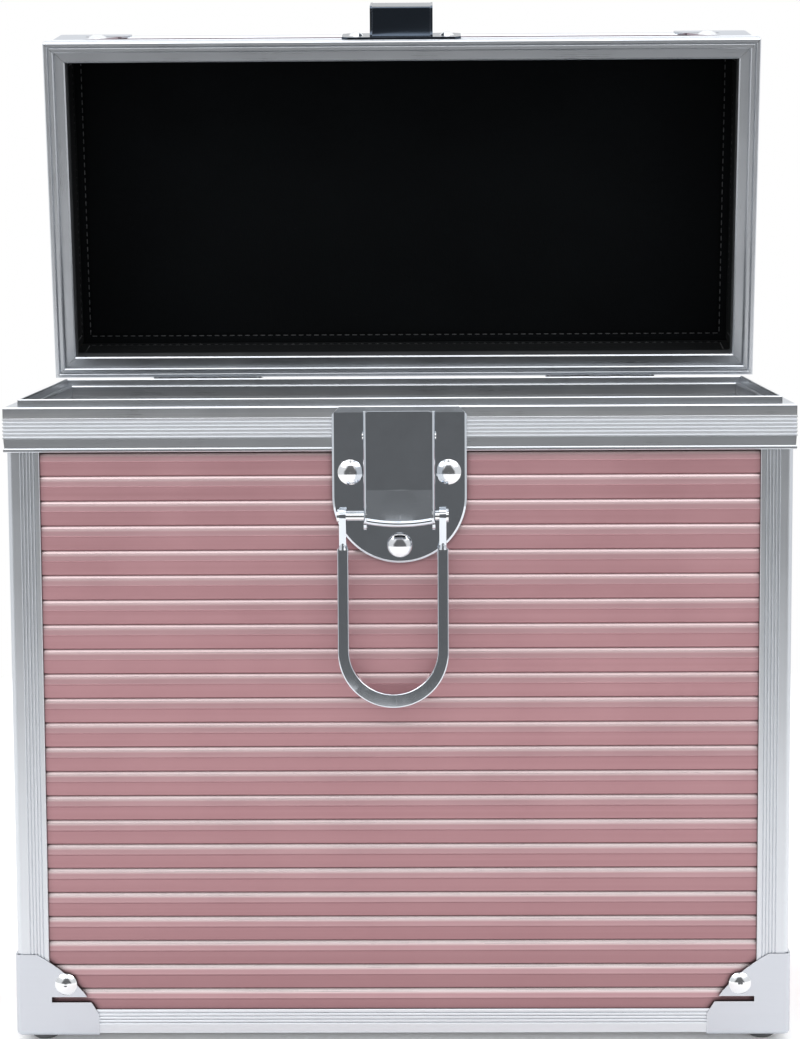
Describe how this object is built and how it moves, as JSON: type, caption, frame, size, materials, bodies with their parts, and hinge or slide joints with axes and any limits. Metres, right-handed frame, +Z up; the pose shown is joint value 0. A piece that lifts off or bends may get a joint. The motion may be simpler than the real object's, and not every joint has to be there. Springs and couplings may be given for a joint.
{
  "type": "record carrying case",
  "caption": "Upright ribbed carrying case with metal edge rails, corner protectors, a hinged lid standing open, a draw latch with a wire bail, and a folding handle on the lid.",
  "frame": {"origin": "on the floor, at the middle of the whole open case's width and depth; the body of the case is centred 26 mm in front of it", "axes": "+X to the right seen from the latch side, +Y to the back where the hinges are, +Z up"},
  "size_m": [0.3508, 0.2489, 0.4738],
  "materials": {
    "board": "raw fibreboard, hidden inside the walls",
    "base_board": "black painted fibreboard",
    "ribbed_skin": "rose anodised, ribbed sheet",
    "rail": "satin anodised extrusion with fine grooves",
    "protector": "bright satin plate",
    "rivet": "polished",
    "chrome": "polished chrome plate",
    "dark_chrome": "polished chrome plate",
    "hinge_steel": "satin nickel plate",
    "lining": "black felted lining",
    "foot": "black",
    "grip": "black, lightly grained"
  },
  "bodies": {
    "case": {"front_board": "board", "back_board": "board", "side_boards": "board", "bottom_board": "base_board", "front_skin": "ribbed_skin", "back_skin": "ribbed_skin", "left_skin": "ribbed_skin", "right_skin": "ribbed_skin", "corner_rails": "rail", "bottom_rails_long": "rail", "bottom_rails_short": "rail", "body_rim_long": "rail", "body_rim_short": "rail", "body_corner_protectors": "protector", "body_protector_rivets": "rivet", "feet": "foot", "front_lining": "lining", "back_lining": "lining", "side_linings": "lining", "floor_lining": "lining", "hinge_body_leaves": "hinge_steel", "hinge_pins": "hinge_steel", "hinge_body_rivets": "rivet", "latch_plate": "chrome", "latch_plate_rivets": "rivet", "latch_lever_pin": "chrome"},
    "lever": {"latch_lever": "chrome"},
    "axle": {"bail_axle": "chrome"},
    "bail": {"latch_bail": "chrome"},
    "lid": {"lid_top_board": "board", "lid_front_board": "board", "lid_back_board": "board", "lid_side_boards": "board", "lid_top_skin": "ribbed_skin", "lid_front_skin": "ribbed_skin", "lid_back_skin": "ribbed_skin", "lid_side_skins": "ribbed_skin", "lid_corner_rails": "rail", "lid_edge_rails_long": "rail", "lid_edge_rails_short": "rail", "lid_rim_long": "rail", "lid_rim_short": "rail", "lid_corner_protectors": "protector", "lid_protector_rivets": "rivet", "lid_top_lining": "lining", "lid_front_lining": "lining", "lid_back_lining": "lining", "lid_side_linings": "lining", "hinge_lid_leaves": "hinge_steel", "hinge_lid_rivets": "rivet", "latch_catch": "dark_chrome", "latch_catch_rivets": "rivet", "handle_brackets": "hinge_steel", "handle_bracket_rivets": "rivet"},
    "handle": {"handle_frame": "hinge_steel", "handle_grip": "grip"}
  },
  "joints": [
    {"name": "lid_hinge", "type": "hinge", "parent": "case", "child": "lid", "pos_m": [0, 0.05977, 0.2865], "axis": [1, 0, 0], "range_deg": [0, 81.5]},
    {"name": "latch_lever_pivot", "type": "hinge", "parent": "case", "child": "lever", "pos_m": [0, -0.11493, 0.2737], "axis": [1, 0, 0], "range_deg": [-36, 0]},
    {"name": "bail_side_play", "type": "slide", "parent": "lever", "child": "axle", "axis": [1, 0, 0], "range_m": [0, 0.006]},
    {"name": "bail_pivot", "type": "hinge", "parent": "axle", "child": "bail", "pos_m": [-0.003, -0.11453, 0.2385], "axis": [-1, 0, 0], "range_deg": [0, 180]},
    {"name": "handle_pivot", "type": "hinge", "parent": "lid", "child": "handle", "pos_m": [0, 0.11088, 0.38089], "axis": [1, 0, 0], "range_deg": [0, 180]}
  ]
}
